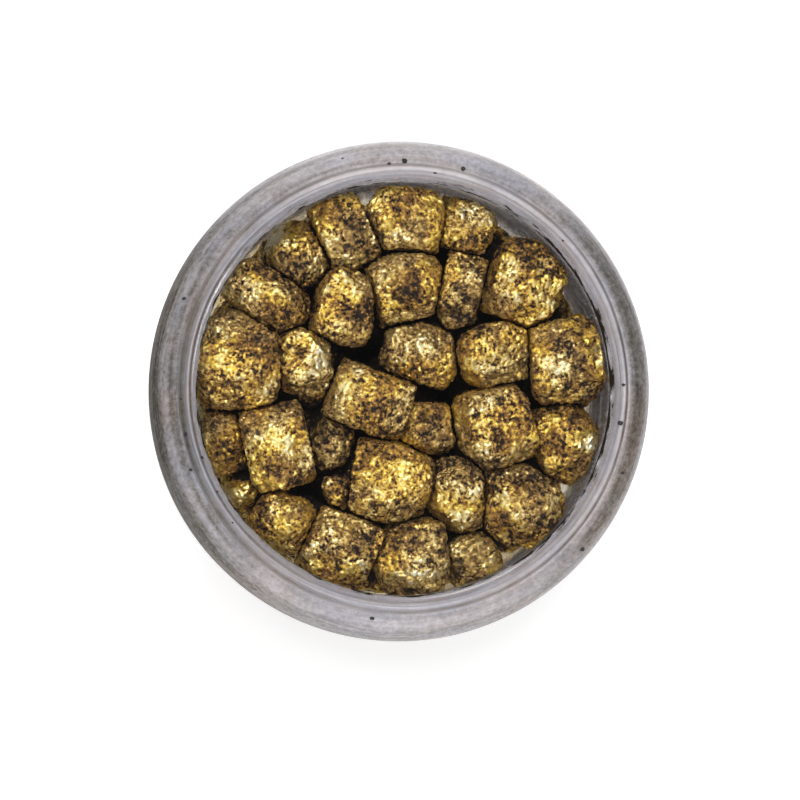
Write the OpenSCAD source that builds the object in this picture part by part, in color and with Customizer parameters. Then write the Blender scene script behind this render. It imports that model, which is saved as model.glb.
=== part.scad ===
// Gold sample vial: a thick-walled clear vial with a clear screw lid and a seal
// ring, filled to the lip with chunky gold nuggets.
// Millimetres, +Z up. The origin is the centre of the base, on the surface that
// the vial stands on.

/* [Vial] */
// Outside diameter of the vial and of its lid
vial_d = 30; // [29.6:0.1:30.6]
// Height of the closed vial
vial_h = 42; // [41.5:0.5:48]
// Inside diameter, from the floor to the mouth
bore_d = 24.6; // [24.4:0.1:24.8]
// Thickness of the floor
floor_t = 3; // [2.6:0.1:3]

/* [Lid] */
// Height of the lid, from the edge of its skirt to its rim
lid_h = 11.5; // [11.4:0.1:12.5]
// Thickness of the clear window in the lid
window_t = 1; // [0.8:0.1:1.1]
// Rise of the lid for one turn
pitch = 3; // [2.8:0.1:3.1]
// Turns of thread on the neck
thread_turns = 1.5; // [1:0.25:1.5]

/* [Nuggets] */
// Size of the largest nuggets below the top layer
nugget_d = 4.3; // [4:0.1:4.3]
// Seed for the shapes of the nuggets
nugget_seed = 7; // [1:1:99]

/* [Hidden] */
// Smoothness of the round walls
$fn = 96;
vial_r = vial_d / 2;
bore_r = bore_d / 2;
neck_r = bore_r + 1.2;

// Heights, from the base up
rim_z = vial_h;
window_z = rim_z - 0.6;
window_under_z = window_z - window_t;
seal_gap = 0.05;
seal_t = 0.7;
lip_z = window_under_z - seal_t - 2 * seal_gap;
skirt_z = rim_z - lid_h;
shoulder_z = skirt_z - 0.3;

// The push-up under the base
heel_r = 2.2;
push_up_r = 10.5;
push_up_h = 0.5;
bore_corner_r = 2;

// The lid: the wall inside the skirt, the seat around the seal ring, the crown
skirt_in_r = neck_r + 0.7;
seat_r = neck_r + 0.25;
rim_r = bore_r + 0.7;
rim_half_w = 0.25;
window_r = bore_r + 0.15;
crown_h = 5;
crown_top_r = rim_r + 0.6;
crown_top_z = rim_z - 0.4;
crown_z = crown_top_z - crown_h;
seal_in_r = bore_r + 0.15;
seal_r = seat_r - 0.15;

// The thread: how far each ridge stands out, and its width at root and crest
ridge_out = 0.55;
ridge_root_w = 1.2;
ridge_crest_w = 0.5;
ridge_sunk = 0.2;
neck_thread_z = skirt_z + 1.9;
// The lid's ridge lies this far below the neck's, near its underside
mesh_drop = 1.35;
lid_thread_from = 90;
ridge_fade = 30;

plastic = [0.80, 0.80, 0.86, 0.45];
gold = "goldenrod";

// The nuggets that show at the mouth, one row each: the place of the centre
// (x, y), the height of the top below the window, the size (across, along, deep),
// the turn about Z, and the tilt about X and Y.
// Each was placed by hand, so that the nuggets fill the mouth and clear each other.
TOP_NUGGETS = [
    [[-6.2,  8.2], 2.2, [2.5, 2.8, 4.2], [ 10,  12,   8]],
    [[-3.4,  9.4], 1.2, [2.9, 4.0, 4.2], [ 25,  -4,   4]],
    [[ 0.4, 10.1], 0.6, [3.6, 3.4, 4.0], [ -5,   4,  -6]],
    [[ 3.9, 10.0], 1.6, [2.5, 2.7, 4.0], [-15,   4,   4]],
    [[-7.9,  5.6], 0.8, [4.2, 2.6, 4.2], [-35,   8,  -8]],
    [[-3.6,  5.0], 0.3, [2.8, 3.8, 4.0], [-12,   4,   6]],
    [[ 0.1,  6.1], 0.8, [3.7, 3.3, 4.2], [ 15,  -8,   4]],
    [[ 3.8,  6.2], 1.0, [2.4, 3.6, 4.2], [-12,   6,  -6]],
    [[ 7.3,  6.4], 0.7, [3.4, 4.1, 4.4], [-20,  -4,   4]],
    [[-9.6,  1.7], 0.5, [4.1, 4.5, 4.2], [  4,   6,   4]],
    [[-5.8,  1.6], 1.6, [2.6, 3.5, 4.0], [ 18,  -8,   6]],
    [[ 1.4,  2.2], 2.0, [3.5, 3.0, 4.0], [-20,  12,  -6]],
    [[ 5.6,  2.2], 1.0, [3.3, 3.0, 4.0], [ 12,   8,   8]],
    [[ 9.9,  1.7], 0.5, [4.0, 4.0, 4.2], [  6,  -6,  -4]],
    [[-1.8, -0.5], 0.6, [4.2, 3.4, 4.2], [-14,   8,   8]],
    [[-4.2, -3.0], 1.9, [1.8, 2.5, 4.0], [-20,   4,   4]],
    [[-7.3, -3.5], 0.5, [3.6, 4.4, 4.4], [ 12,   6,  -4]],
    [[-10.5, -3.2], 2.4, [1.9, 3.0, 4.0], [ 16,   2,   2]],
    [[ 1.9, -2.3], 1.4, [2.6, 2.2, 3.6], [ 10,  -6,  -8]],
    [[ 5.7, -2.1], 0.5, [3.7, 4.0, 4.4], [ 14,   8,  10]],
    [[ 9.9, -2.9], 1.2, [3.0, 3.4, 4.2], [ 28,   4,  -6]],
    [[-0.7, -5.2], 0.4, [4.1, 3.7, 4.4], [-10,   8,  -6]],
    [[-3.8, -5.9], 1.8, [1.2, 1.5, 2.6], [ 20,   0,   0]],
    [[ 3.3, -6.4], 0.9, [2.4, 3.4, 4.2], [ 12,   6,   8]],
    [[ 7.2, -6.8], 0.6, [3.7, 3.7, 4.4], [-30,   4,   4]],
    [[-7.0, -7.6], 1.2, [3.2, 2.3, 4.0], [-34,   4,   4]],
    [[-3.6, -9.3], 0.5, [4.0, 3.5, 4.4], [-24,   6,   6]],
    [[ 0.8, -9.9], 0.8, [3.5, 3.5, 4.2], [  8,   6,  -6]],
    [[ 4.2, -10.1], 1.4, [2.3, 2.4, 3.8], [ 20,   4,   4]],
    [[-9.4, -6.1], 2.6, [1.4, 1.6, 3.6], [ 30,   2,   2]],
];

// Below them the nuggets lie in level layers of rings: the radius of each ring as
// a share of the room that the bore leaves, and how many nuggets are in it.
RINGS = [[0, 1], [0.562, 8], [1, 14]];
layer_gap = 0.1;
wall_gap = 0.1;
layer_h = nugget_d + layer_gap;
top_layer_h = 6.5;
layers = floor((window_under_z - top_layer_h - floor_t) / layer_h);

function two_digits(k) = str(k < 10 ? "0" : "", k);
function nugget_name(k) = str("nugget_", two_digits(k));
function layer_name(k) = str("nugget_layer_", k);

// Points on a quarter or other stretch of an ellipse, in an r-z outline
function arc(centre, size, from, to, steps = 6) = [
    for (k = [0:steps])
        let (a = from + (to - from) * k / steps)
        [centre[0] + size[0] * cos(a), centre[1] + size[1] * sin(a)]
];

// The vial: a straight bore in a thick wall, with a narrower neck for the lid
module vial_outline() {
    lip_round = 0.3;
    shoulder_round = 0.8;
    polygon(concat(
        [[0, push_up_h], [push_up_r - push_up_h, push_up_h], [push_up_r, 0]],
        arc([vial_r - heel_r, heel_r], [heel_r, heel_r], -90, 0),
        arc([vial_r - shoulder_round, shoulder_z - shoulder_round],
            [shoulder_round, shoulder_round], 0, 90),
        [[neck_r, shoulder_z]],
        arc([neck_r - lip_round, lip_z - lip_round], [lip_round, lip_round], 0, 90),
        arc([bore_r + lip_round, lip_z - lip_round], [lip_round, lip_round], 90, 180),
        arc([bore_r - bore_corner_r, floor_t + bore_corner_r],
            [bore_corner_r, bore_corner_r], 0, -90),
        [[0, floor_t]]
    ));
}

// The lid: a skirt, a rounded crown up to a raised rim, and a level window
module lid_outline() {
    edge = 0.25;
    seat_z = window_under_z - 1.3;
    taper_h = 1.1;
    polygon(concat(
        [[0, window_under_z], [seat_r, window_under_z], [seat_r, seat_z]],
        [[skirt_in_r, seat_z - taper_h], [skirt_in_r, skirt_z]],
        arc([vial_r - edge, skirt_z + edge], [edge, edge], -90, 0, 3),
        arc([crown_top_r, crown_z], [vial_r - crown_top_r, crown_h], 0, 90, 10),
        arc([rim_r, crown_top_z], [rim_half_w, rim_z - crown_top_z], 0, 180, 8),
        [[window_r, window_z], [0, window_z]]
    ));
}

// One winding of thread, a ridge that stands out from root_r by out (inwards when
// out is negative) and fades away at both ends
module thread_ridge(root_r, out, from, to, start_z) {
    step = 10;
    sides = 4;
    side = sign(out);
    thin_end = 0.04;
    count = round((to - from) / step);
    function height(a) =
        let (near = min(a - from, to - a) / ridge_fade)
        max(thin_end, min(1, near));
    function section(a) =
        let (
            h = height(a),
            z = start_z + pitch * a / 360,
            inner_r = root_r - side * ridge_sunk,
            crest_r = root_r + out * h,
            root_w = ridge_root_w / 2,
            crest_w = ridge_crest_w / 2
        )
        [
            [inner_r, z - root_w], [crest_r, z - crest_w],
            [crest_r, z + crest_w], [inner_r, z + root_w]
        ];
    points = [
        for (k = [0:count])
            let (a = from + k * step)
            for (p = section(a))
                [p[0] * cos(a), p[0] * sin(a), p[1]]
    ];
    walls = [
        for (k = [0:count - 1])
            for (j = [0:sides - 1])
                let (
                    a = k * sides + j,
                    b = k * sides + (j + 1) % sides
                )
                each [[a, b, b + sides], [a, b + sides, a + sides]]
    ];
    last = count * sides;
    caps = [
        [0, 2, 1], [0, 3, 2],
        [last, last + 1, last + 2], [last, last + 2, last + 3]
    ];
    faces = concat(walls, caps);
    polyhedron(points, side > 0 ? faces : [for (f = faces) [f[0], f[2], f[1]]]);
}

module vial_body() {
    color(plastic) {
        rotate_extrude() vial_outline();
        thread_ridge(neck_r, ridge_out, 0, thread_turns * 360, neck_thread_z);
    }
}

module screw_lid() {
    color(plastic) {
        rotate_extrude() lid_outline();
        thread_ridge(
            skirt_in_r, -ridge_out, lid_thread_from, thread_turns * 360,
            neck_thread_z - mesh_drop
        );
    }
}

// A soft flat ring between the lip and the lid
module seal_ring() {
    color("white") translate([0, 0, lip_z + seal_gap])
        rotate_extrude()
            translate([seal_in_r, 0])
                square([seal_r - seal_in_r, seal_t]);
}

// One nugget about its own centre: a block with its corners and edges knocked off
// by tilted blocks and a ball, so that no two are alike
module nugget(size, seed) {
    chamfer = 1.13;
    ball_share = 0.405;
    long = 9;
    most_wobble = 9;
    wobble = rands(-most_wobble, most_wobble, 6, nugget_seed * 100 + seed);
    upright_w = chamfer * (size[0] + size[1]) / 2;
    level_w = chamfer * (size[1] + size[2]) / 2;
    intersection() {
        cube(size, center = true);
        rotate([wobble[0], wobble[1], 45 + wobble[2]])
            cube([upright_w, upright_w, long], center = true);
        rotate([45 + wobble[3], wobble[4], wobble[5]])
            cube([long, level_w, level_w], center = true);
        sphere(norm(size) * ball_share, $fn = 32);
    }
}

module top_nugget(k) {
    row = TOP_NUGGETS[k - 1];
    place = row[0];
    size = row[2];
    turn = row[3];
    z = window_under_z - row[1] - size[2] / 2;
    color(gold) translate([place[0], place[1], z])
        rotate([turn[1], turn[2], turn[0]])
            nugget(size, k);
}

// One level layer, the k-th from the floor, turned so that it lies across its
// neighbours
module nugget_layer(k) {
    room = bore_r - wall_gap - nugget_d / 2;
    z = floor_t + layer_gap + nugget_d / 2 + (k - 1) * layer_h;
    layer_turn = 137;
    least_share = 0.8;
    most_share = 0.92;
    color(gold) for (ring = [0:len(RINGS) - 1])
        for (j = [0:RINGS[ring][1] - 1]) {
            seed = 1000 * k + 100 * ring + j;
            shape = rands(least_share, most_share, 3, nugget_seed + seed);
            turn = rands(0, 90, 3, nugget_seed + 2 * seed + 1);
            rotate(layer_turn * k + 360 * j / RINGS[ring][1])
                translate([room * RINGS[ring][0], 0, z])
                    rotate(turn)
                        round_nugget(shape);
        }
}

// A nugget that stays inside a ball of nugget_d
module round_nugget(shape) {
    intersection() {
        cube(nugget_d * shape, center = true);
        sphere(nugget_d / 2, $fn = 32);
    }
}

vial_body();
screw_lid();
seal_ring();
for (k = [1:len(TOP_NUGGETS)])
    top_nugget(k);
for (k = [1:layers])
    nugget_layer(k);
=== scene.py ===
"""Looks for the gold sample vial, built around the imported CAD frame.

Shapes are worked out in millimetres and scaled to metres when they become meshes. Names
that end in _MM or _mm are in millimetres, and other lengths are in metres.
"""

import math

import bmesh
import bpy
import numpy as np
from mathutils import Matrix, Vector


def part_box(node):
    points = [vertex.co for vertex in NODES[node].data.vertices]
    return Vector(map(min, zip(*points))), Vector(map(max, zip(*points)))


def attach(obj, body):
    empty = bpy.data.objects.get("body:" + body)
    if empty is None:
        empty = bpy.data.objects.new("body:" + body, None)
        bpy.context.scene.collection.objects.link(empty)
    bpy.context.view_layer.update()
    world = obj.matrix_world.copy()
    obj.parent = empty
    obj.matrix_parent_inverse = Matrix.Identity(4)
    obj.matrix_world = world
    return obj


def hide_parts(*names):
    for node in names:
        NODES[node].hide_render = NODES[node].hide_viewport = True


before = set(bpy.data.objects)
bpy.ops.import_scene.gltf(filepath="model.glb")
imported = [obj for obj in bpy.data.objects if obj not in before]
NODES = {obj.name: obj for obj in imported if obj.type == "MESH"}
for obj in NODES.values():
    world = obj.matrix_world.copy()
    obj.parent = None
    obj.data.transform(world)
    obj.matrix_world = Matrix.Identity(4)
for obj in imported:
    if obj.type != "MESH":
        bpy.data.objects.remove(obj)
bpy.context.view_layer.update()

MM = 0.001

# Sizes of the clear parts, from the frame where it says and otherwise as in part.scad
RIM_Z_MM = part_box("screw_lid")[1].z / MM
SKIRT_Z_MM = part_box("screw_lid")[0].z / MM
OUTER_R_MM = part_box("screw_lid")[1].x / MM
LIP_Z_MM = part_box("vial_body")[1].z / MM
SEAL_R_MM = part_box("seal_ring")[1].x / MM
SEAL_GAP_MM = 0.05
WINDOW_UNDER_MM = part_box("seal_ring")[1].z / MM + SEAL_GAP_MM
BORE_R_MM = 12.3
NECK_R_MM = BORE_R_MM + 1.2
FLOOR_T_MM = 3.0
WINDOW_Z_MM = RIM_Z_MM - 0.6
WINDOW_R_MM = BORE_R_MM + 0.15
GROOVE_R_MM = WINDOW_R_MM - 0.3
RIM_R_MM = BORE_R_MM + 0.7
RIM_HALF_W_MM = 0.25
SHOULDER_Z_MM = SKIRT_Z_MM - 0.3
CROWN_H_MM = 5.0
CROWN_TOP_R_MM = RIM_R_MM + 0.6
CROWN_TOP_Z_MM = RIM_Z_MM - 0.4
SKIRT_IN_R_MM = NECK_R_MM + 0.7
SEAT_R_MM = SEAL_R_MM + 0.15
SEAT_Z_MM = WINDOW_UNDER_MM - 1.3
TAPER_END_Z_MM = SEAT_Z_MM - 1.1

# The thread, as in part.scad: where each ridge starts and ends, in degrees
PITCH_MM = 3.0
THREAD_END = 540
LID_THREAD_START = 90
NECK_THREAD_Z_MM = SKIRT_Z_MM + 1.9
LID_THREAD_Z_MM = NECK_THREAD_Z_MM - 1.35
RIDGE_OUT_MM = 0.55
RIDGE_ROOT_W_MM = 1.2
RIDGE_CREST_W_MM = 0.5
RIDGE_FADE = 30


# ---------------------------------------------------------------- noise on arrays of points

def lattice_random(ix, iy, iz, seed):
    """One number from 0 to 1 for each whole-number place in space."""
    h = (
        ix.astype(np.uint32) * np.uint32(374761393)
        + iy.astype(np.uint32) * np.uint32(668265263)
        + iz.astype(np.uint32) * np.uint32(2246822519)
        + np.uint32(seed * 3266489917 % 2**32)
    )
    h = (h ^ (h >> np.uint32(13))) * np.uint32(1274126177)
    h = (h ^ (h >> np.uint32(16))) * np.uint32(2654435769)
    h = h ^ (h >> np.uint32(15))
    return h.astype(np.float64) / 2**32


def smooth_noise(points, size, seed):
    """Smooth noise from -1 to 1, with lumps about this size."""
    p = points / size + 1000.0
    cell = np.floor(p).astype(np.int64)
    t = p - cell
    t = t * t * (3 - 2 * t)
    total = np.zeros(len(p))
    for corner in range(8):
        dx, dy, dz = corner & 1, corner >> 1 & 1, corner >> 2 & 1
        weight = (
            np.where(dx, t[:, 0], 1 - t[:, 0])
            * np.where(dy, t[:, 1], 1 - t[:, 1])
            * np.where(dz, t[:, 2], 1 - t[:, 2])
        )
        total += weight * lattice_random(
            cell[:, 0] + dx, cell[:, 1] + dy, cell[:, 2] + dz, seed
        )
    return total * 2 - 1


def layered_noise(points, size, seed, layers=3):
    """Smooth noise in several sizes, each half the one before."""
    total = np.zeros(len(points))
    share, whole = 1.0, 0.0
    for k in range(layers):
        total += share * smooth_noise(points, size / 2**k, seed + 17 * k)
        whole += share
        share *= 0.5
    return total / whole


def nearest_dot(points, size, seed):
    """How far the nearest of a loose cloud of dots is, in shares of their spacing."""
    p = points / size + 1000.0
    cell = np.floor(p).astype(np.int64)
    best = np.full(len(p), 9.0)
    for dx in (-1, 0, 1):
        for dy in (-1, 0, 1):
            for dz in (-1, 0, 1):
                near = cell + (dx, dy, dz)
                jitter = np.stack(
                    [
                        lattice_random(near[:, 0], near[:, 1], near[:, 2], seed + k)
                        for k in (1, 2, 3)
                    ],
                    axis=1,
                )
                gap = near + jitter - p
                best = np.minimum(best, (gap * gap).sum(1))
    return np.sqrt(best)


# ---------------------------------------------------------------- meshes

def new_piece(name, mesh, body, replaced=()):
    """A piece of the visual model. It rides on a body, takes its finish from a slot and
    stands for the CAD nodes named in replaced."""
    piece = bpy.data.objects.new(name, mesh)
    bpy.context.scene.collection.objects.link(piece)
    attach(piece, body)
    if replaced:
        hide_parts(*replaced)


def shade_smooth(mesh):
    """Smooth shading on every face."""
    mesh.polygons.foreach_set("use_smooth", [True] * len(mesh.polygons))


def coordinates(mesh):
    """The mesh's points, one row for each."""
    co = np.zeros(len(mesh.vertices) * 3, np.float32)
    mesh.vertices.foreach_get("co", co)
    return co.reshape(-1, 3).astype(np.float64)


def normals(mesh):
    """The direction that the surface faces at each point, one row for each."""
    no = np.zeros(len(mesh.vertices) * 3, np.float32)
    mesh.vertex_normals.foreach_get("vector", no)
    return no.reshape(-1, 3).astype(np.float64)


# ---------------------------------------------------------------- turned shapes

SEGMENTS = 240
ANGLES = np.arange(SEGMENTS) * 2 * math.pi / SEGMENTS


def arc(centre, size, start, end, steps):
    """Points on a stretch of an ellipse, in an (r, z) outline. Angles are in degrees."""
    turn = np.radians(np.linspace(start, end, steps + 1))
    return list(zip(centre[0] + size[0] * np.cos(turn), centre[1] + size[1] * np.sin(turn)))


def even(points, step_mm):
    """The same outline with its long stretches cut into short ones."""
    result = [points[0]]
    for a, b in zip(points, points[1:]):
        count = max(1, math.ceil(math.dist(a, b) / step_mm - 1e-6))
        for k in range(1, count + 1):
            t = k / count
            result.append((a[0] + (b[0] - a[0]) * t, a[1] + (b[1] - a[1]) * t))
    return result


def lathed(name, stretches, relief=None):
    """Turns an outline about Z. Each stretch is a (material index, points) pair, and it
    starts where the one before it ends. The outline starts and ends on the axis.
    relief(index, r, z) gives how far each ring of points moves away from the axis."""
    points = [stretches[0][1][0]]
    material = []
    for index, some in stretches:
        first = 1 if math.dist(points[-1], some[0]) < 1e-6 else 0
        points += some[first:]
        material += [index] * (len(some) - first)
    rings = np.array(points[1:-1])
    r = np.repeat(rings[:, :1], SEGMENTS, axis=1)
    z = np.repeat(rings[:, 1:], SEGMENTS, axis=1)
    if relief:
        r = r + relief(np.array(material[:-1])[:, None], r, z)
    ring_points = np.stack([r * np.cos(ANGLES), r * np.sin(ANGLES), z], axis=2).reshape(-1, 3)
    axis_points = np.array([(0, 0, points[0][1]), (0, 0, points[-1][1])])
    co = np.concatenate([ring_points, axis_points])
    start, end = len(ring_points), len(ring_points) + 1
    here = np.arange(SEGMENTS)
    beside = (here + 1) % SEGMENTS
    faces = [(start, b, a) for a, b in zip(here, beside)]
    index = [material[0]] * SEGMENTS
    for k in range(len(rings) - 1):
        low, high = k * SEGMENTS, (k + 1) * SEGMENTS
        faces += [(low + a, low + b, high + b, high + a) for a, b in zip(here, beside)]
        index += [material[k + 1]] * SEGMENTS
    last = (len(rings) - 1) * SEGMENTS
    faces += [(last + a, last + b, end) for a, b in zip(here, beside)]
    index += [material[-1]] * SEGMENTS
    mesh = bpy.data.meshes.new(name)
    mesh.from_pydata(co * MM, [], [tuple(int(v) for v in face) for face in faces])
    mesh.polygons.foreach_set("material_index", index)
    bm = bmesh.new()
    bm.from_mesh(mesh)
    bmesh.ops.recalc_face_normals(bm, faces=bm.faces)
    bm.to_mesh(mesh)
    bm.free()
    shade_smooth(mesh)
    return mesh


def thread(z, start_z_mm, from_angle):
    """How far a screw thread stands out, in millimetres, at each angle and height. It
    climbs from start_z_mm at angle 0, and its ridge starts at from_angle."""
    degrees = np.degrees(ANGLES)[None, :]
    out = np.zeros_like(z)
    for turn in range(2):
        along = degrees + 360 * turn
        middle = start_z_mm + PITCH_MM * along / 360
        fade = np.minimum(along - from_angle, THREAD_END - along) / RIDGE_FADE
        slope = (RIDGE_ROOT_W_MM - RIDGE_CREST_W_MM) / 2
        height = (RIDGE_ROOT_W_MM / 2 - np.abs(z - middle)) / slope
        ridge = np.clip(height, 0, 1)
        ridge = ridge * ridge * (3 - 2 * ridge)
        out = np.maximum(out, RIDGE_OUT_MM * ridge * np.clip(fade, 0, 1))
    return out


# Which material each stretch of the vial and of the lid has, by its place in the list that
# make_vial or make_lid gives the mesh
OUTSIDE, BORE, NECK = 0, 1, 2
WINDOW, CROWN, SKIRT, RIM, INSIDE, GROOVE = 0, 1, 2, 3, 4, 5
# The height of a row of faces where there is thread
ROW_MM = 0.12


def vial_shape():
    """A thick wall with a push-up under its base and a threaded neck."""
    heel, push_up_r, push_up_h = 2.2, 10.5, 0.5
    shoulder_round, neck_bevel, lip_round, corner = 0.8, 0.15, 0.3, 2.0
    outside = (
        [(0, push_up_h), (push_up_r - push_up_h, push_up_h), (push_up_r, 0)]
        + arc((OUTER_R_MM - heel, heel), (heel, heel), -90, 0, 12)
        + arc(
            (OUTER_R_MM - shoulder_round, SHOULDER_Z_MM - shoulder_round),
            (shoulder_round, shoulder_round), 0, 90, 8,
        )
        + [(NECK_R_MM + neck_bevel, SHOULDER_Z_MM)]
    )
    neck = [(NECK_R_MM, SHOULDER_Z_MM + neck_bevel), (NECK_R_MM, LIP_Z_MM - lip_round)]
    lip = arc(
        (NECK_R_MM - lip_round, LIP_Z_MM - lip_round), (lip_round, lip_round), 0, 90, 6
    )
    bore = (
        arc((BORE_R_MM + lip_round, LIP_Z_MM - lip_round), (lip_round, lip_round), 90, 180, 6)
        + arc((BORE_R_MM - corner, FLOOR_T_MM + corner), (corner, corner), 0, -90, 10)
        + [(0, FLOOR_T_MM)]
    )
    stretches = [
        (OUTSIDE, even(outside, 1.0)),
        (NECK, even(neck, ROW_MM)),
        (OUTSIDE, lip),
        (BORE, even(bore, 0.8)),
    ]

    def relief(index, r, z):
        return np.where(index == NECK, thread(z, NECK_THREAD_Z_MM, 0), 0)

    return lathed("vial_shape", stretches, relief)


# Fine raised lines around the crown: radius, height and width of each, in millimetres
CROWN_LINES = [(14.72, 0.05, 0.07), (14.25, -0.04, 0.06), (13.85, 0.04, 0.06)]
RIBS = 80
RIB_MM = 0.14


def lid_shape():
    """A ribbed skirt, a rounded crown with fine lines, a raised rim and a clear window."""
    edge = 0.25
    rib_top = CROWN_TOP_Z_MM - CROWN_H_MM
    window_under = [
        (0, WINDOW_UNDER_MM), (GROOVE_R_MM, WINDOW_UNDER_MM), (WINDOW_R_MM, WINDOW_UNDER_MM)
    ]
    inside = [
        (WINDOW_R_MM, WINDOW_UNDER_MM),
        (SEAT_R_MM, WINDOW_UNDER_MM),
        (SEAT_R_MM, SEAT_Z_MM),
        (SKIRT_IN_R_MM, TAPER_END_Z_MM),
        (SKIRT_IN_R_MM, SKIRT_Z_MM),
    ]
    skirt = arc(
        (OUTER_R_MM - edge, SKIRT_Z_MM + edge), (edge, edge), -90, 0, 4
    ) + [(OUTER_R_MM, rib_top)]
    crown = arc(
        (CROWN_TOP_R_MM, rib_top), (OUTER_R_MM - CROWN_TOP_R_MM, CROWN_H_MM), 0, 90, 130
    ) + [(RIM_R_MM + RIM_HALF_W_MM + 0.05, CROWN_TOP_Z_MM)]
    rim = arc(
        (RIM_R_MM, CROWN_TOP_Z_MM), (RIM_HALF_W_MM, RIM_Z_MM - CROWN_TOP_Z_MM), 0, 180, 16
    )
    rim.append((WINDOW_R_MM, WINDOW_Z_MM))
    groove = [(WINDOW_R_MM, WINDOW_Z_MM), (GROOVE_R_MM, WINDOW_Z_MM)]
    # A narrow ring of faces at its edge keeps the window's shading flat
    flat_edge = 0.15
    window = [
        (GROOVE_R_MM, WINDOW_Z_MM), (GROOVE_R_MM - flat_edge, WINDOW_Z_MM), (0, WINDOW_Z_MM)
    ]
    stretches = [
        (WINDOW, even(window_under, 2.0)),
        (INSIDE, even(inside, ROW_MM)),
        (SKIRT, even(skirt, 0.25)),
        (CROWN, even(crown, 0.1)),
        (RIM, rim),
        (GROOVE, groove),
        (WINDOW, even(window, 2.0)),
    ]

    def relief(index, r, z):
        lines = np.zeros_like(r)
        for line_r, height, width in CROWN_LINES:
            lines += height * np.exp(-(((r - line_r) / width) ** 2))
        wave = 0.5 - 0.5 * np.cos(ANGLES * RIBS)
        foot = np.clip((z - SKIRT_Z_MM - 0.5) / 0.5, 0, 1)
        head = np.clip((rib_top - z) / 0.8, 0, 1)
        ribs = -RIB_MM * np.minimum(foot, head) * wave[None, :]
        on_inner_wall = (index == INSIDE) & (z < TAPER_END_Z_MM)
        ridge = -thread(z, LID_THREAD_Z_MM, LID_THREAD_START)
        return (
            np.where(index == CROWN, lines, 0)
            + np.where(index == SKIRT, ribs, 0)
            + np.where(on_inner_wall, ridge, 0)
        )

    return lathed("lid_shape", stretches, relief)


def seal_shape():
    """A soft flat ring, a little bulged by the squeeze between the lip and the lid."""
    low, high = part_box("seal_ring")
    inner = WINDOW_R_MM
    bulge = 0.04
    top, bottom = high.z / MM, low.z / MM
    middle = (top + bottom) / 2
    half = (top - bottom) / 2
    outline = (
        arc((SEAL_R_MM - bulge, middle), (bulge, half), -90, 90, 8)
        + arc((inner + bulge, middle), (bulge, half), 90, 270, 8)
    )
    outline = even(outline + [outline[0]], 0.3)[:-1]
    rings = np.array(outline)
    co = np.stack(
        [
            rings[:, :1] * np.cos(ANGLES),
            rings[:, :1] * np.sin(ANGLES),
            np.repeat(rings[:, 1:], SEGMENTS, axis=1),
        ],
        axis=2,
    ).reshape(-1, 3)
    faces = []
    for k in range(len(rings)):
        low_row, high_row = k * SEGMENTS, (k + 1) % len(rings) * SEGMENTS
        for a in range(SEGMENTS):
            b = (a + 1) % SEGMENTS
            faces.append((low_row + a, low_row + b, high_row + b, high_row + a))
    mesh = bpy.data.meshes.new("seal_shape")
    mesh.from_pydata(co * MM, [], faces)
    shade_smooth(mesh)
    return mesh


# ---------------------------------------------------------------- nuggets

# How much each nugget grows from its CAD solid before it meets its neighbours
TOP_GROWTH = (1.27, 1.27, 1.03)
LOWER_GROWTH = (1.28, 1.28, 1.28)
TOP_VOXEL_MM = 0.056
LOWER_VOXEL_MM = 0.18
# How far a nugget is drawn to a plain ellipsoid, from least to most, and how far its
# edges are rounded after it has met its neighbours
ROUND_SHARES = (0.2, 0.75)
EDGE_ROUNDING_MM = 0.34
# The lumps and bumps on a nugget, and the dents, crumbs, holes and grain in its crust: how
# wide they are, and how high or deep
LUMP_MM, LUMP_H_MM = 1.8, 0.42
BUMP_MM, BUMP_H_MM = 0.8, 0.22
DENT_MM, DENT_H_MM = 0.75, 0.12
CRUMB_MM, CRUMB_H_MM = 0.26, 0.13
HOLE_MM, HOLE_H_MM = 0.26, 0.12
GRAIN_MM, GRAIN_H_MM = 0.13, 0.05
# The distances from the axis between which the nuggets' flanks that face the wall take painted
# light
WALL_LIGHT_MM = (8.5, 10.5)
# How far the crust may stand out from a nugget's smooth shape, and the least gaps
RELIEF_MM = 0.10
CONTACT_GAP_MM = 0.02
WALL_GAP_MM = 0.05
WINDOW_GAP_MM = 0.1


def loose_hulls(obj):
    """The corners of each separate solid in a CAD node, in millimetres."""
    mesh = obj.data
    co = coordinates(mesh) / MM
    keys = {}
    group = np.zeros(len(co), int)
    for k, row in enumerate(np.round(co, 3)):
        group[k] = keys.setdefault(tuple(row), len(keys))
    parent = list(range(len(keys)))

    def root(k):
        while parent[k] != k:
            parent[k] = parent[parent[k]]
            k = parent[k]
        return k

    for face in mesh.polygons:
        first = root(group[face.vertices[0]])
        for v in face.vertices[1:]:
            parent[root(group[v])] = first
    roots = np.array([root(k) for k in group])
    return [np.unique(np.round(co[roots == r], 4), axis=0) for r in sorted(set(roots))]


def hull_mesh(corners_mm):
    """The convex solid around some points."""
    bm = bmesh.new()
    for row in corners_mm:
        bm.verts.new(row)
    result = bmesh.ops.convex_hull(bm, input=bm.verts)
    spare = [v for v in result["geom_interior"] if isinstance(v, bmesh.types.BMVert)]
    bmesh.ops.delete(bm, geom=spare, context="VERTS")
    mesh = bpy.data.meshes.new("hull")
    bm.to_mesh(mesh)
    bm.free()
    return mesh


def modified(mesh, kind, **settings):
    """The mesh with one modifier applied. The mesh handed in is used up."""
    obj = bpy.data.objects.new("work", mesh)
    bpy.context.scene.collection.objects.link(obj)
    modifier = obj.modifiers.new("work", kind)
    for key, value in settings.items():
        setattr(modifier, key, value)
    depsgraph = bpy.context.evaluated_depsgraph_get()
    result = bpy.data.meshes.new_from_object(obj.evaluated_get(depsgraph))
    bpy.data.objects.remove(obj)
    bpy.data.meshes.remove(mesh)
    return result


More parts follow.
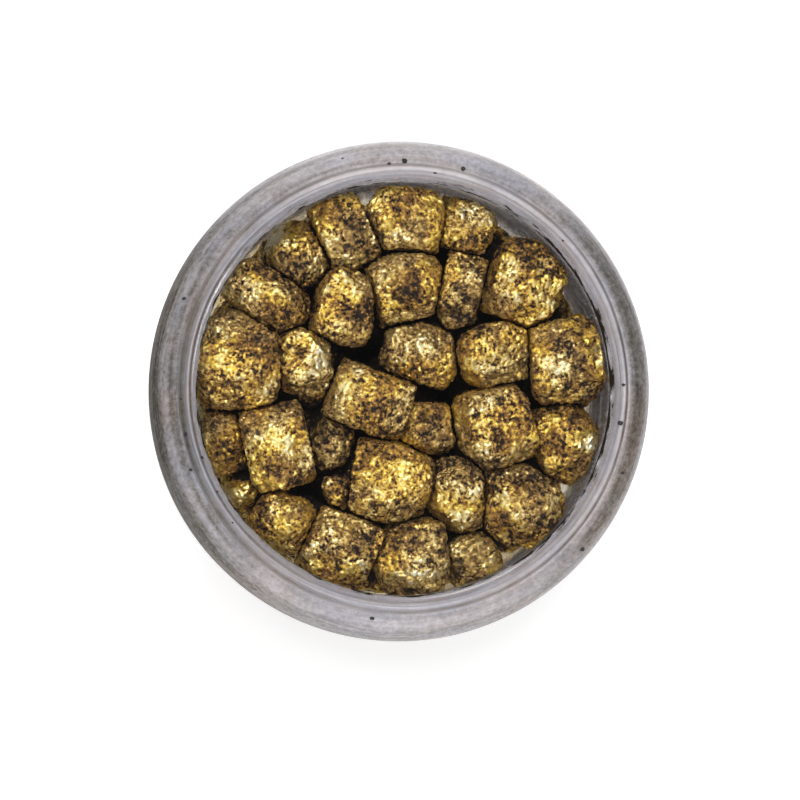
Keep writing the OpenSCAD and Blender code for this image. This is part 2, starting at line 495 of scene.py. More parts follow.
def drawn_round(co, share):
    """Points about their middle, drawn this far to an ellipsoid of the same spread."""
    spread, axes = np.linalg.eigh(np.cov(co.T))
    length = np.linalg.norm(co @ axes / np.sqrt(3 * spread), axis=1)
    return co * (1 - share + share / length)[:, None]


def middle_plane(a, b):
    """The plane half way between two convex solids, as a normal from a to b and how far
    along it the plane lies. It steps towards the shortest line between the solids."""
    line = b.mean(0) - a.mean(0)
    best = (-1e9, None, None)
    for _ in range(40):
        normal = line / np.linalg.norm(line)
        along_a, along_b = a @ normal, b @ normal
        gap = along_b.min() - along_a.max()
        if gap > best[0]:
            best = (gap, normal, (along_b.min() + along_a.max()) / 2)
        target = b[along_b.argmin()] - a[along_a.argmax()]
        change = target - line
        share = -(line @ change) / max(change @ change, 1e-12)
        line = line + min(max(share, 0), 1) * change
    return best[1], best[2]


def neighbour_planes(hulls):
    """For each solid, the planes that part it from the solids near it."""
    centres = [hull.mean(0) for hull in hulls]
    reach = [np.linalg.norm(hull - c, axis=1).max() for hull, c in zip(hulls, centres)]
    planes = [[] for _ in hulls]
    for i in range(len(hulls)):
        for j in range(i + 1, len(hulls)):
            if np.linalg.norm(centres[i] - centres[j]) > 1.3 * (reach[i] + reach[j]):
                continue
            normal, along = middle_plane(hulls[i], hulls[j])
            planes[i].append((normal, along))
            planes[j].append((-normal, -along))
    return planes


def kept_inside(co, planes, room):
    """Points moved to their own side of each plane, and off the wall, the floor and the
    window, with this much room to spare."""
    for normal, along in planes:
        over = np.maximum(co @ normal - (along - CONTACT_GAP_MM / 2 - room), 0)
        co = co - over[:, None] * normal
    most_r = BORE_R_MM - WALL_GAP_MM - room
    r = np.hypot(co[:, 0], co[:, 1])
    co[:, :2] *= np.where(r > most_r, most_r / np.maximum(r, 1e-6), 1.0)[:, None]
    lowest = FLOOR_T_MM + WALL_GAP_MM + room
    co[:, 2] = np.clip(co[:, 2], lowest, WINDOW_UNDER_MM - WINDOW_GAP_MM - room)
    return co


def painted_light_facing(no, co):
    """How far each point faces the window, or the wall where it is near, from 0 to 1:
    the painted light on the nuggets.
    """
    r = np.maximum(np.hypot(co[:, 0], co[:, 1]), 1e-6)
    outward = (no[:, 0] * co[:, 0] + no[:, 1] * co[:, 1]) / r
    near_wall = np.clip((r - WALL_LIGHT_MM[0]) / (WALL_LIGHT_MM[1] - WALL_LIGHT_MM[0]), 0, 1)
    up, out = np.maximum(no[:, 2], 0), np.maximum(outward, 0)
    return np.clip(np.hypot(up, out * near_wall), 0, 1)


def nugget_surface(corners_mm, planes, growth, voxel_mm, seed):
    """One nugget: its solid grown, rounded and made lumpy, kept off its neighbours, and
    then given its crust. Returns its points, its faces and, for each point, how pitted
    it is and how pale: worn in random patches, with painted light where it faces up and
    towards the wall."""
    centre = corners_mm.mean(0)
    hull = hull_mesh((corners_mm - centre) * growth)
    mesh = modified(hull, "REMESH", mode="VOXEL", voxel_size=voxel_mm)
    co = coordinates(mesh)
    # One number from 0 to 1 for each nugget says how round it is
    low, high = ROUND_SHARES
    chance = float(lattice_random(*np.array([[seed], [3], [7]]), 5)[0])
    co = drawn_round(co, low + (high - low) * chance)
    lumps = LUMP_H_MM * layered_noise(co, LUMP_MM, seed, 2)
    lumps += BUMP_H_MM * smooth_noise(co, BUMP_MM, seed + 3)
    co = co + normals(mesh) * lumps[:, None]
    co = kept_inside(co + centre, planes, RELIEF_MM)
    mesh.vertices.foreach_set("co", co.astype(np.float32).ravel())
    rounds = round(2 * (EDGE_ROUNDING_MM / voxel_mm) ** 2)
    mesh = modified(mesh, "SMOOTH", factor=0.5, iterations=rounds)
    co, no = coordinates(mesh), normals(mesh)
    patch = 0.5 + 0.5 * layered_noise(co, 1.5, seed + 41, 2)
    dents = layered_noise(co, DENT_MM, seed + 5, 2)
    crumbs = layered_noise(co, CRUMB_MM, seed + 11, 2)
    grain = smooth_noise(co, GRAIN_MM, seed + 31)
    holes = np.clip(1 - nearest_dot(co, HOLE_MM, seed + 23) / 0.55, 0, 1)
    # Pale patches worn at random, kept to the points that face up or towards the wall: painted
    # light
    wear_and_light = np.clip(painted_light_facing(no, co) ** 2 * (2.6 * patch - 0.85) + 0.3 * dents, 0, 1)
    rough = 1 - 0.4 * wear_and_light
    fine = CRUMB_H_MM * crumbs + GRAIN_H_MM * grain - HOLE_H_MM * holes
    height = np.minimum(DENT_H_MM * dents + rough * fine, RELIEF_MM)
    co = kept_inside(co + no * height[:, None], planes, 0)
    pit = np.clip(rough * (0.6 - 1.5 * crumbs - 1.0 * grain + 0.7 * holes), 0, 1)
    faces = [tuple(p.vertices) for p in mesh.polygons]
    bpy.data.meshes.remove(mesh)
    return co, faces, pit, wear_and_light


# Painted shade darkens the nuggets deep between each other: the height at which it starts,
# the height at which nothing else shows, and the radii between which it ends at the wall.
GAP_SHADE_TOP_MM, GAP_SHADE_DEEP_MM = 38.2, 36.2
GAP_SHADE_FULL_R_MM, GAP_SHADE_NONE_R_MM = 10.6, 12.0


def painted_gap_shade(co):
    """How much painted shade falls on each point deep between the nuggets, from 0 to 1."""
    r = np.hypot(co[:, 0], co[:, 1])
    deep = np.clip((GAP_SHADE_TOP_MM - co[:, 2]) / (GAP_SHADE_TOP_MM - GAP_SHADE_DEEP_MM), 0, 1)
    inner = np.clip((GAP_SHADE_NONE_R_MM - r) / (GAP_SHADE_NONE_R_MM - GAP_SHADE_FULL_R_MM), 0, 1)
    return deep * inner


def make_nuggets(material):
    """Every nugget, each CAD node's as one piece."""
    names = sorted(n for n in NODES if n.startswith("nugget"))
    hulls = {name: loose_hulls(NODES[name]) for name in names}
    planes = neighbour_planes([hull for name in names for hull in hulls[name]])
    count = 0
    for name in names:
        lower = "layer" in name
        growth = np.array(LOWER_GROWTH if lower else TOP_GROWTH)
        voxel_mm = LOWER_VOXEL_MM if lower else TOP_VOXEL_MM
        surfaces = []
        for corners in hulls[name]:
            surfaces.append(
                nugget_surface(corners, planes[count], growth, voxel_mm, 100 * count)
            )
            count += 1
        nugget_piece(name, surfaces, material)


def nugget_piece(node, surfaces, material):
    """Joins the nuggets of one CAD node into the piece that replaces it."""
    points, faces = [], []
    values = {"pit": [], "wear_and_light": [], "dirt_and_shade": []}
    count = 0
    for co, some_faces, pit, wear_and_light in surfaces:
        points.append(co)
        faces += [tuple(v + count for v in f) for f in some_faces]
        values["pit"].append(pit)
        values["wear_and_light"].append(wear_and_light)
        # Each point also keeps its painted shade from deep between the nuggets
        values["dirt_and_shade"].append(painted_gap_shade(co))
        count += len(co)
    mesh = bpy.data.meshes.new(node + "_shape")
    mesh.from_pydata(np.concatenate(points) * MM, [], faces)
    for name, some in values.items():
        layer = mesh.attributes.new(name, "FLOAT", "POINT")
        layer.data.foreach_set("value", np.concatenate(some).astype(np.float32))
    shade_smooth(mesh)
    mesh.materials.append(material)
    new_piece(node + "_pitted", mesh, "vial", [node])


# ---------------------------------------------------------------- materials

def fill_ramp(color_ramp, stops):
    """Gives a colour ramp these stops, each a place from 0 to 1 and a colour."""
    elements = color_ramp.elements
    while len(elements) < len(stops):
        elements.new(0.5)
    for element, (place, rgb) in zip(elements, stops):
        element.position = place
        element.color = (*rgb, 1)


class Nodes:
    """A new material's node tree, with a short call for each kind of node used here.
    Each call returns the socket that the node gives."""

    def __init__(self, name):
        self.material = bpy.data.materials.new(name)
        self.material.use_nodes = True
        self.tree = self.material.node_tree
        self.tree.nodes.clear()
        self.place = self.add("ShaderNodeTexCoord", {}, "Object")

    def add(self, kind, inputs, output=0, **settings):
        node = self.tree.nodes.new(kind)
        for key, value in settings.items():
            setattr(node, key, value)
        for key, value in inputs.items():
            if isinstance(value, bpy.types.NodeSocket):
                self.tree.links.new(value, node.inputs[key])
            else:
                node.inputs[key].default_value = value
        return node.outputs[output]

    def math(self, operation, a, b=0.0):
        return self.add("ShaderNodeMath", {0: a, 1: b}, operation=operation)

    def total(self, first, *others):
        """The sum of two or more values."""
        for other in others:
            first = self.math("ADD", first, other)
        return first

    def times(self, a, b):
        return self.math("MULTIPLY", a, b)

    def noise(self, scale, detail=3.0, roughness=0.6, vector=None):
        """Noise from 0 to 1. scale is about how many lumps it has to a metre, or to each
        unit of the vector given."""
        inputs = {
            "Vector": vector or self.place,
            "Scale": scale,
            "Detail": detail,
            "Roughness": roughness,
        }
        return self.add("ShaderNodeTexNoise", inputs, "Fac")

    def attribute(self, name):
        return self.add("ShaderNodeAttribute", {}, "Fac", attribute_name=name)

    def ramp(self, value, stops):
        """The colour that these stops give for a value from 0 to 1."""
        colour = self.add("ShaderNodeValToRGB", {"Fac": value}, "Color")
        fill_ramp(colour.node.color_ramp, stops)
        return colour

    def mapped(self, value, from_low, from_high, to_low, to_high):
        """A value moved from one range to another, and held at that range's ends."""
        inputs = {
            "Value": value,
            "From Min": from_low,
            "From Max": from_high,
            "To Min": to_low,
            "To Max": to_high,
        }
        return self.add("ShaderNodeMapRange", inputs, "Result")

    def swing(self, noise, amount, half_range=0.2):
        """Noise about 0.5 turned into a change of up to this amount either way."""
        return self.mapped(noise, 0.5 - half_range, 0.5 + half_range, -amount, amount)

    def mix(self, factor, a, b):
        """A mix of two colours. The node's sockets share names, so they go by number."""
        return self.add("ShaderNodeMix", {0: factor, 6: a, 7: b}, 2, data_type="RGBA")

    def bump(self, height, strength, distance):
        inputs = {"Height": height, "Strength": strength, "Distance": distance}
        return self.add("ShaderNodeBump", inputs, "Normal")

    def around(self):
        """The distance from the axis, the height, and the direction out from the axis."""
        xyz = self.add("ShaderNodeSeparateXYZ", {0: self.place}).node.outputs
        flat = self.add("ShaderNodeCombineXYZ", {0: xyz[0], 1: xyz[1]})
        radius = self.add("ShaderNodeVectorMath", {0: flat}, "Value", operation="LENGTH")
        outward = self.add("ShaderNodeVectorMath", {0: flat}, 0, operation="NORMALIZE")
        return radius, xyz[2], outward

    def weights(self):
        """How far each point lies towards -X, +X, +Y and -Y. The four add up to 1."""
        xyz = self.add("ShaderNodeSeparateXYZ", {0: self.around()[2]}).node.outputs
        sides = [(xyz[0], -1.0), (xyz[0], 1.0), (xyz[1], 1.0), (xyz[1], -1.0)]
        result = []
        for along, sign in sides:
            part = self.math("MAXIMUM", self.times(along, sign), 0.0)
            result.append(self.times(part, part))
        return result

    def streaks(self, across, along, detail=3.0):
        """Noise in fine lines around the axis: how many lines to a metre across them,
        and how many times they change in a turn."""
        radius, height, outward = self.around()
        line = self.times(self.total(radius, height), across)
        slow = self.add("ShaderNodeVectorMath", {0: outward, "Scale": along}, 0, operation="SCALE")
        lifted = self.add("ShaderNodeCombineXYZ", {2: line})
        vector = self.add("ShaderNodeVectorMath", {0: slow, 1: lifted}, 0, operation="ADD")
        return self.noise(1.0, detail, 0.65, vector)

    def principled(self, inputs):
        return self.add("ShaderNodeBsdfPrincipled", inputs)

    def finish(self, shader):
        node = self.tree.nodes.new("ShaderNodeOutputMaterial")
        self.tree.links.new(shader, node.inputs["Surface"])
        return self.material

    def finish_lit_through(self, shader, tint):
        """The shader, but clear to the rays that carry lamp light, so that what is
        inside the plastic is lit through it."""
        shadow_ray = self.add("ShaderNodeLightPath", {}, "Is Shadow Ray")
        clear = self.add("ShaderNodeBsdfTransparent", {"Color": tint})
        return self.finish(
            self.add("ShaderNodeMixShader", {0: shadow_ray, 1: shader, 2: clear})
        )


# The gold's colours by tone, from the dirt in its pits to bare metal: on the yellower
# patches, and on the paler ones
YELLOW_GOLD = [
    (0.00, (0.016, 0.012, 0.007)),
    (0.14, (0.122, 0.062, 0.018)),
    (0.34, (0.315, 0.166, 0.043)),
    (0.54, (0.600, 0.385, 0.060)),
    (0.74, (0.880, 0.630, 0.100)),
    (0.95, (1.000, 0.820, 0.330)),
]
PALE_GOLD = [
    (0.00, (0.016, 0.012, 0.008)),
    (0.14, (0.114, 0.064, 0.023)),
    (0.34, (0.305, 0.186, 0.060)),
    (0.54, (0.600, 0.430, 0.130)),
    (0.74, (0.900, 0.740, 0.310)),
    (0.95, (1.000, 0.945, 0.680)),
]


def gold_material():
    """Natural gold under a brown crust: one tone, from the dirt in the pits to the metal on
    the pale patches, sets its colour, its gloss and how far it is bare metal. The pale
    patches are worn at random and painted light where the nuggets face up and towards the
    wall, and painted shade darkens the tone deep between the nuggets. The pits and crumbs
    stand out most on the pale patches."""
    nodes = Nodes("gold_nugget")
    speck = nodes.noise(6200.0, 2.0, 0.6)
    crumb = nodes.noise(2900.0, 3.0, 0.6)
    fleck = nodes.noise(4100.0, 1.0, 0.5)
    blotch = nodes.noise(800.0, 3.0)
    region = nodes.noise(330.0, 1.0)
    wear_and_light = nodes.attribute("wear_and_light")
    pits = nodes.mapped(nodes.attribute("pit"), 0.35, 0.95, 0.0, -0.42)
    detail = nodes.times(
        nodes.total(nodes.swing(speck, 0.28), nodes.swing(crumb, 0.30), pits),
        nodes.mapped(wear_and_light, 0.0, 0.7, 0.55, 1.25),
    )
    # Painted shade deep between the nuggets, broken up by a blotchy noise, darkens the tone
    dirt_and_shade = nodes.total(nodes.attribute("dirt_and_shade"), nodes.times(blotch, 0.5))
    # Painted light makes the tone paler where the nuggets face up and towards the wall
    tone = nodes.total(
        nodes.times(wear_and_light, 0.50),
        nodes.mapped(blotch, 0.3, 0.7, 0.22, 0.48),
        nodes.mapped(region, 0.35, 0.65, -0.16, 0.15),
        detail,
        nodes.mapped(dirt_and_shade, 0.55, 1.0, 0.0, -0.9),
        nodes.mapped(fleck, 0.62, 0.76, 0.0, 0.5),
    )
    pale = nodes.mapped(nodes.noise(300.0, 2.0), 0.45, 0.57, 0.0, 1.0)
    colour = nodes.mix(pale, nodes.ramp(tone, YELLOW_GOLD), nodes.ramp(tone, PALE_GOLD))
    shader = nodes.principled(
        {
            "Base Color": colour,
            "Metallic": nodes.mapped(tone, 0.15, 0.65, 0.1, 1.0),
            "Roughness": nodes.mapped(tone, 0.20, 0.90, 0.60, 0.28),
            "Specular IOR Level": 0.15,
            "Normal": nodes.bump(speck, 0.6, 0.00008),
        }
    )
    return nodes.finish(shader)


def clear_material(name, tint, rough, haze, bump):
    """Clear moulded plastic with flow lines around the axis and light scuffs. rough is
    its least and most roughness, haze is how cloudy the scuffs are, and bump how strongly
    the flow lines show."""
    nodes = Nodes(name)
    lines = nodes.streaks(3000.0, 2.5)
    scuff = nodes.noise(420.0, 5.0)
    shader = nodes.principled(
        {
            "Base Color": (*tint, 1),
            "Roughness": nodes.mapped(scuff, 0.4, 0.75, *rough),
            "IOR": 1.5,
            "Transmission Weight": nodes.mapped(scuff, 0.3, 0.7, 1.0, 1.0 - haze),
            "Normal": nodes.bump(lines, bump, 0.0001),
        }
    )
    return nodes.finish_lit_through(shader, (0.95, 0.95, 0.97, 1))


def bore_material():
    """The inside of the vial, clear low down, and dusty and rubbed near the mouth. The
    dust is browner and reaches deeper on the +X side."""
    nodes = Nodes("vial_bore")
    across = nodes.weights()[1]
    height = nodes.total(nodes.around()[1], nodes.times(across, 6 * MM))
    near_mouth = nodes.mapped(height, (LIP_Z_MM - 6) * MM, (LIP_Z_MM - 2) * MM, 0.0, 1.0)
    mottle = nodes.noise(1500.0, 4.0, 0.7)
    dust = nodes.times(near_mouth, nodes.mapped(mottle, 0.35, 0.65, 0.3, 1.0))
    grey = nodes.ramp(mottle, [(0.40, (0.05, 0.035, 0.025)), (0.62, (0.50, 0.46, 0.45))])
    brown = nodes.ramp(mottle, [(0.42, (0.02, 0.013, 0.008)), (0.66, (0.26, 0.20, 0.15))])
    dirt_and_shade = nodes.mix(across, grey, brown)
    shader = nodes.principled(
        {
            "Base Color": nodes.mix(dust, (0.94, 0.94, 0.97, 1), dirt_and_shade),
            "Roughness": nodes.mapped(dust, 0.0, 1.0, 0.06, 0.45),
            "IOR": 1.5,
            "Transmission Weight": nodes.mapped(dust, 0.0, 1.0, 1.0, 0.25),
            "Normal": nodes.bump(mottle, 0.3, 0.00006),
        }
    )
    return nodes.finish_lit_through(shader, (0.9, 0.9, 0.92, 1))


# The lid's cloudy plastic where it is clean, and how much lamp light each of its surfaces
# lets through
CLOUDY = (0.46, 0.43, 0.44, 1)
LID_GLOW = (0.86, 0.86, 0.88, 1)
# How pale the ring around the window is, from 0 to 1, at each distance from the axis in
# millimetres, towards -X, +X, +Y and -Y. Along with the ring's own tone it holds painted
# highlights and painted shade: pale lines where the rim and the crown's lines catch the
# lamps, lighter towards +Y and -Y where the lamps fall, and dark lines beside the rim.
RING_TONES_AND_LIGHT = [
    (12.45, (0.46, 0.36, 0.54, 0.48)),
    (12.58, (0.14, 0.52, 0.52, 0.48)),
    (12.70, (0.86, 0.66, 0.76, 0.80)),
    (12.86, (0.40, 0.74, 0.88, 0.92)),
    (12.98, (0.24, 0.74, 0.80, 0.56)),
    (13.12, (0.14, 0.14, 0.46, 0.36)),
    (13.28, (0.40, 0.74, 0.66, 0.74)),
    (13.45, (0.34, 0.44, 0.56, 0.62)),
    (13.70, (0.28, 0.16, 0.66, 0.76)),
    (13.95, (0.48, 0.16, 0.68, 0.74)),
    (14.25, (0.38, 0.22, 0.68, 0.60)),
    (14.50, (0.08, 0.40, 0.60, 0.50)),
    (14.75, (0.02, 0.62, 0.92, 0.52)),
    (15.00, (0.06, 0.56, 0.66, 0.44)),
]
# The ring's colours by tone, brown at the dark end, which holds its dirt and its painted shade:
# warmer in places, and cooler in others
WARM_RING = [
    (0.00, (0.035, 0.024, 0.014)),
    (0.28, (0.195, 0.162, 0.140)),
    (0.50, (0.400, 0.355, 0.345)),
    (0.75, (0.660, 0.605, 0.610)),
    (1.00, (0.930, 0.890, 0.920)),
]
COOL_RING = [
    (0.00, (0.030, 0.024, 0.018)),
    (0.28, (0.168, 0.164, 0.158)),
    (0.50, (0.355, 0.345, 0.375)),
    (0.75, (0.610, 0.590, 0.650)),
    (1.00, (0.890, 0.880, 0.960)),
]


def ring_tone_and_light(nodes):
    """The tone at each point of the ring, from its distance and its direction, with painted
    highlights and painted shade.
    """
    low, high = RING_TONES_AND_LIGHT[0][0], RING_TONES_AND_LIGHT[-1][0]
    share = nodes.mapped(nodes.around()[0], low * MM, high * MM, 0.0, 1.0)
    parts = []
    for side, weight in enumerate(nodes.weights()):
        stops = [((r - low) / (high - low), (tones[side],) * 3) for r, tones in RING_TONES_AND_LIGHT]
        parts.append(nodes.times(nodes.ramp(share, stops), weight))
    return nodes.total(*parts)


def ring_material(name, lines_amount, mottle_amount, rough):
    """Cloudy plastic with fine lines around the axis and brown dirt, its tone also holding
    painted highlights and painted shade. lines_amount and mottle_amount are how far the
    lines and the mottle change its tone, and rough is its roughness where it is palest and
    where it is darkest."""
    nodes = Nodes(name)
    lines = nodes.streaks(5200.0, 3.0, 1.0)
    mottle = nodes.noise(3400.0, 3.0, 0.7)
    blotch = nodes.noise(700.0, 3.0, 0.6)
    cool = nodes.mapped(nodes.streaks(1100.0, 2.0, 2.0), 0.40, 0.60, 0.0, 1.0)
    # The ring's own tone with its painted highlights and painted shade, by distance and side
    tone = nodes.total(
        ring_tone_and_light(nodes),
        nodes.swing(lines, lines_amount, 0.25),
        nodes.swing(mottle, mottle_amount),
        nodes.swing(blotch, 0.06),
    )
    colour = nodes.mix(cool, nodes.ramp(tone, WARM_RING), nodes.ramp(tone, COOL_RING))
    shader = nodes.principled(
        {
            "Base Color": colour,
            "Roughness": nodes.mapped(tone, 0.2, 0.8, rough[1], rough[0]),
            "IOR": 1.5,
            "Specular IOR Level": 0.15,
            "Transmission Weight": nodes.mapped(tone, 0.1, 0.5, 0.0, 0.2),
            "Normal": nodes.bump(lines, 0.3, 0.0001),
        }
    )
    return nodes.finish_lit_through(shader, LID_GLOW)


def groove_material():
    """The corner inside the rim, darkened in broken flecks, most of all along its inner edge
    and towards +X: painted shadow, where the gap between the nuggets and the wall below it
    lies in shade."""
    nodes = Nodes("lid_groove")
    broken_line = nodes.streaks(5200.0, 9.0, 4.0)
    radius = nodes.around()[0]
    edge = nodes.mapped(radius, GROOVE_R_MM * MM, (GROOVE_R_MM + 0.16) * MM, 0.20, 0.0)
    # Painted shadow along the groove, heavier at its inner edge and towards +X
    dirt_and_shade = nodes.total(broken_line, nodes.times(nodes.weights()[1], 0.14), edge)
    dirty_and_shaded = nodes.mapped(dirt_and_shade, 0.56, 0.70, 0.0, 1.0)
    shader = nodes.principled(
        {
            "Base Color": nodes.mix(dirty_and_shaded, CLOUDY, (0.016, 0.010, 0.007, 1)),
            "Roughness": nodes.mapped(dirty_and_shaded, 0.0, 1.0, 0.2, 0.7),
            "IOR": 1.5,
            "Specular IOR Level": 0.1,
            "Transmission Weight": nodes.mapped(dirty_and_shaded, 0.0, 1.0, 0.6, 0.0),
        }
    )
    return nodes.finish_lit_through(shader, LID_GLOW)


def skirt_material():
    """The skirt's cloudy plastic, with dirt between its ribs and here and there on them, and
    darker towards -X.
    """
    nodes = Nodes("skirt_plastic")
    lines = nodes.streaks(1500.0, 9.0)
    patch = nodes.noise(500.0, 3.0, 0.6)
    fleck = nodes.noise(2400.0, 4.0, 0.75)
    deepest, shallow = (OUTER_R_MM - RIB_MM) * MM, (OUTER_R_MM - 0.4 * RIB_MM) * MM
    valley = nodes.mapped(nodes.around()[0], deepest, shallow, 0.2, 0.0)
    # Darker towards -X
    minus_x_side = nodes.weights()[0]
    dirt_and_shade = nodes.total(fleck, nodes.times(patch, 0.5), nodes.times(minus_x_side, 0.15), valley)
    dirty_and_shaded = nodes.mapped(dirt_and_shade, 0.80, 1.02, 0.0, 0.85)
    shader = nodes.principled(
        {
            "Base Color": nodes.mix(dirty_and_shaded, CLOUDY, (0.060, 0.042, 0.028, 1)),
            "Roughness": nodes.mapped(dirty_and_shaded, 0.0, 1.0, 0.22, 0.6),
            "IOR": 1.5,
            "Specular IOR Level": 0.3,
            "Transmission Weight": nodes.mapped(dirty_and_shaded, 0.0, 1.0, 0.45, 0.0),
            "Normal": nodes.bump(lines, 0.15, 0.0001),
        }
    )
    return nodes.finish_lit_through(shader, LID_GLOW)


def seal_material():
    """Soft milky plastic."""
    nodes = Nodes("milky_seal")
    mottle = nodes.noise(1500.0)
    shader = nodes.principled(
        {
            "Base Color": nodes.ramp(
                mottle, [(0.35, (0.20, 0.19, 0.22)), (0.65, (0.40, 0.39, 0.44))]
            ),
            "Roughness": nodes.mapped(mottle, 0.3, 0.7, 0.4, 0.6),
            "Subsurface Weight": 0.4,
            "Subsurface Scale": 0.0006,
            "Normal": nodes.bump(mottle, 0.3, 0.00004),
        }
    )
    return nodes.finish(shader)


def sand_material():
    """Black iron sand, a little glossy."""
    nodes = Nodes("black_sand")
    speck = nodes.noise(6000.0, 2.0)
    shader = nodes.principled(
        {
            "Base Color": nodes.ramp(
                speck, [(0.3, (0.006, 0.006, 0.008)), (0.8, (0.05, 0.045, 0.04))]
            ),
            "Roughness": nodes.mapped(speck, 0.3, 0.7, 0.25, 0.6),
        }
    )
    return nodes.finish(shader)


# ---------------------------------------------------------------- the clear parts

def make_vial():
    """The glassy plastic vial, its bore dusty near the mouth."""
    mesh = vial_shape()
    tint = (0.94, 0.94, 0.97)
    mesh.materials.append(clear_material("vial_wall", tint, (0.02, 0.08), 0.02, 0.1))
    mesh.materials.append(bore_material())
    mesh.materials.append(clear_material("vial_neck", tint, (0.03, 0.14), 0.08, 0.1))
    new_piece("vial_shell", mesh, "vial", ["vial_body"])


def make_lid():
    """The screw lid: a clear window in a ring and a skirt of cloudier plastic."""
    mesh = lid_shape()
    clear = (0.97, 0.97, 0.99)
    mesh.materials.append(clear_material("lid_window", clear, (0.0, 0.03), 0.0, 0.0))
    mesh.materials.append(ring_material("lid_crown", 0.09, 0.13, (0.28, 0.65)))
    mesh.materials.append(skirt_material())
    mesh.materials.append(ring_material("lid_rim", 0.08, 0.05, (0.18, 0.34)))
    mesh.materials.append(clear_material("lid_inside", clear, (0.04, 0.2), 0.1, 0.1))
    mesh.materials.append(groove_material())
    new_piece("lid_shell", mesh, "lid", ["screw_lid"])


def make_seal():
    """The soft ring between the vial's lip and the lid."""
    mesh = seal_shape()
    mesh.materials.append(seal_material())
    new_piece("seal_soft", mesh, "seal", ["seal_ring"])


# ---------------------------------------------------------------- black sand on the lid

# Where the grains lie: distance from the axis in millimetres, and direction in degrees
SAND_SPOTS = [
    (14.0, 105), (13.2, 94), (13.4, 90), (12.8, 82), (13.4, 75), (12.8, 43), (12.9, 1),
    (12.9, -9), (13.8, -21), (13.9, 158), (13.1, 183), (13.1, 192), (12.6, 199), (13.4, 201),
    (12.6, 209), (12.8, 218), (13.6, 262), (14.1, 318),
]
SAND_R_MM = 0.13


def lid_top_mm(r):
    """The height of the lid's upper surface at a distance from the axis."""
    if r > CROWN_TOP_R_MM:
        out = (r - CROWN_TOP_R_MM) / (OUTER_R_MM - CROWN_TOP_R_MM)
        return CROWN_TOP_Z_MM - CROWN_H_MM + CROWN_H_MM * math.sqrt(1 - out * out)
    if r > RIM_R_MM + RIM_HALF_W_MM:
        return CROWN_TOP_Z_MM
    if r > RIM_R_MM - RIM_HALF_W_MM:
        out = (r - RIM_R_MM) / RIM_HALF_W_MM
        return CROWN_TOP_Z_MM + (RIM_Z_MM - CROWN_TOP_Z_MM) * math.sqrt(1 - out * out)
    return WINDOW_Z_MM


def make_sand():
    """Grains of black sand that cling to the lid, each a small lumpy stone."""
    bm = bmesh.new()
    for k, (r, degrees) in enumerate(SAND_SPOTS):
        angle = math.radians(degrees)
        spot = Vector((r * math.cos(angle), r * math.sin(angle), lid_top_mm(r)))
        size = SAND_R_MM * (0.65 + 0.7 * (k * 7 % 5) / 4)
        made = bmesh.ops.create_icosphere(
            bm, subdivisions=2, radius=size, matrix=Matrix.Translation(spot)
        )
        co = np.array([v.co - spot for v in made["verts"]]) / size
        lump = 1 + 0.28 * smooth_noise(co, 0.8, 77 + k)
        squash = np.array([1.0, 0.7 + 0.1 * (k % 3), 0.6])
        for v, row in zip(made["verts"], co * lump[:, None] * squash * size):
            v.co = (spot + Vector(row)) * MM
    mesh = bpy.data.meshes.new("black_sand_shape")
    bm.to_mesh(mesh)
    bm.free()
    mesh.materials.append(sand_material())
    new_piece("black_sand", mesh, "lid")


# ---------------------------------------------------------------- floor, light, camera

FLOOR_GLOW = 0.35


def make_floor():
    """A white floor with a faint glow, so that it stays pale under the soft room."""
    bm = bmesh.new()
    bmesh.ops.create_grid(bm, x_segments=2, y_segments=2, size=1.5)
    mesh = bpy.data.meshes.new("floor_shape")
    bm.to_mesh(mesh)
    bm.free()
    floor = bpy.data.objects.new("floor", mesh)
    bpy.context.scene.collection.objects.link(floor)
    nodes = Nodes("white_floor")
    shader = nodes.principled(
        {
            "Base Color": (0.94, 0.94, 0.94, 1),
            "Roughness": 0.9,
            "Emission Color": (1, 1, 1, 1),
            "Emission Strength": FLOOR_GLOW,
        }
    )
    mesh.materials.append(nodes.finish(shader))


def area_light(name, place, size, power, colour=(1, 1, 1)):
    """A soft rectangular lamp that faces the vial's rim."""
    data = bpy.data.lights.new(name, "AREA")
    data.shape = "RECTANGLE"
    data.size, data.size_y = size
    data.energy = power
    data.color = colour
    light = bpy.data.objects.new(name, data)
    bpy.context.scene.collection.objects.link(light)
    light.location = place
    towards = Vector((0, 0, RIM_Z_MM * MM)) - Vector(place)
    light.rotation_euler = towards.to_track_quat("-Z", "Y").to_euler()


# The room's shade by how high one looks, from the sides at 0 to right overhead at 1
ROOM_SHADES = [(0.0, (0.45, 0.45, 0.46)), (0.93, (0.75, 0.75, 0.75)), (0.985, (0.04, 0.04, 0.04))]


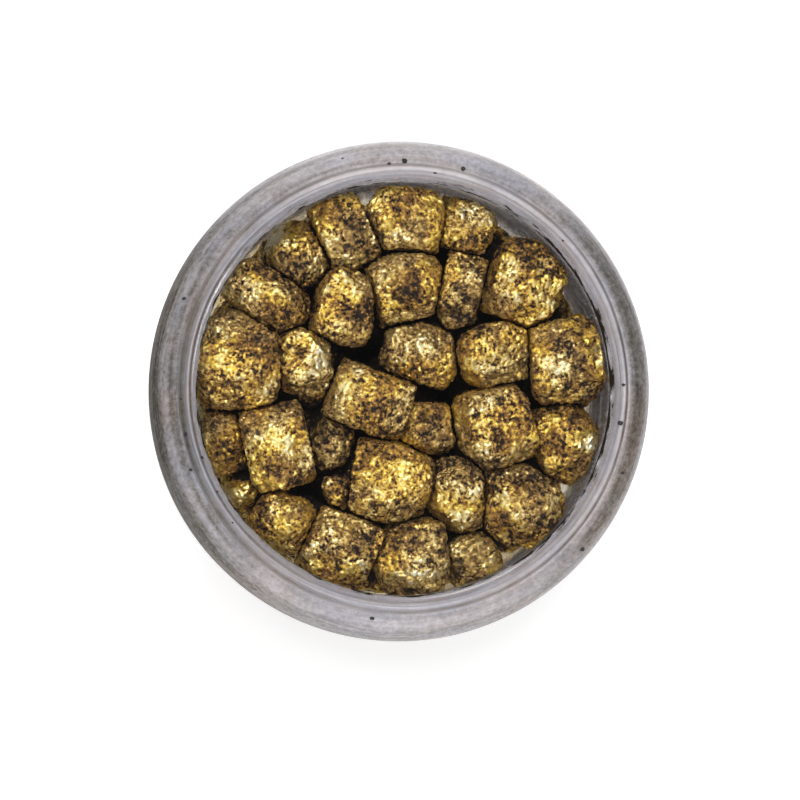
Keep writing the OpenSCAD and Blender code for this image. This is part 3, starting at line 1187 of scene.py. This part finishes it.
def make_room():
    """A soft room, dark right overhead, so that the window gives no glare, and brightest
    around that."""
    world = bpy.data.worlds.new("soft_room")
    bpy.context.scene.world = world
    world.use_nodes = True
    tree = world.node_tree
    place = tree.nodes.new("ShaderNodeTexCoord")
    xyz = tree.nodes.new("ShaderNodeSeparateXYZ")
    shade = tree.nodes.new("ShaderNodeValToRGB")
    fill_ramp(shade.color_ramp, ROOM_SHADES)
    tree.links.new(place.outputs["Generated"], xyz.inputs[0])
    tree.links.new(xyz.outputs["Z"], shade.inputs["Fac"])
    tree.links.new(shade.outputs["Color"], tree.nodes["Background"].inputs["Color"])


def make_light():
    """Two small lamps above, and a broad low card across from them."""
    area_light("key", (-0.015, 0.15, 0.46), (0.06, 0.04), 0.33)
    area_light("card", (0.02, -0.40, 0.22), (0.6, 0.35), 0.5, (1.0, 0.97, 0.92))
    area_light("overhead", (-0.045, 0.045, 0.62), (0.03, 0.03), 0.44)


# Where the camera stands: its distance from the rim, and how far and which way it leans
# from straight above. RIM_FROM_MIDDLE_MM is the rim's place right and up of the view's middle.
VIEW_DISTANCE = 0.185
VIEW_TILT = math.radians(4.7)
VIEW_SIDE = math.radians(206.6)
RIM_FROM_MIDDLE_MM = (0.29, 0.70)
LENS = 142.7


def make_camera():
    """Almost straight above the rim, a little to the left, with +Y up in the view."""
    rim = Vector((0, 0, RIM_Z_MM * MM))
    side = Vector((math.cos(VIEW_SIDE), math.sin(VIEW_SIDE), 0))
    away = side * math.tan(VIEW_TILT) + Vector((0, 0, 1))
    back = away.normalized()
    right = Vector((0, 1, 0)).cross(back).normalized()
    up = back.cross(right)
    aim = rim - (right * RIM_FROM_MIDDLE_MM[0] + up * RIM_FROM_MIDDLE_MM[1]) * MM
    data = bpy.data.cameras.new("view")
    data.sensor_width = 36
    data.lens = LENS
    data.clip_start = 0.01
    camera = bpy.data.objects.new("view", data)
    bpy.context.scene.collection.objects.link(camera)
    turn = Matrix((right, up, back)).transposed().to_4x4()
    camera.matrix_world = Matrix.Translation(aim + away * VIEW_DISTANCE) @ turn
    bpy.context.scene.camera = camera


# ---------------------------------------------------------------- the whole scene

make_nuggets(gold_material())
make_vial()
make_lid()
make_seal()
make_sand()
make_floor()
make_room()
make_light()
make_camera()

scene = bpy.context.scene
scene.view_settings.view_transform = "Standard"
scene.cycles.use_denoising = True
scene.cycles.max_bounces = 16
scene.cycles.transmission_bounces = 14
scene.cycles.transparent_max_bounces = 16

bpy.context.view_layer.update()
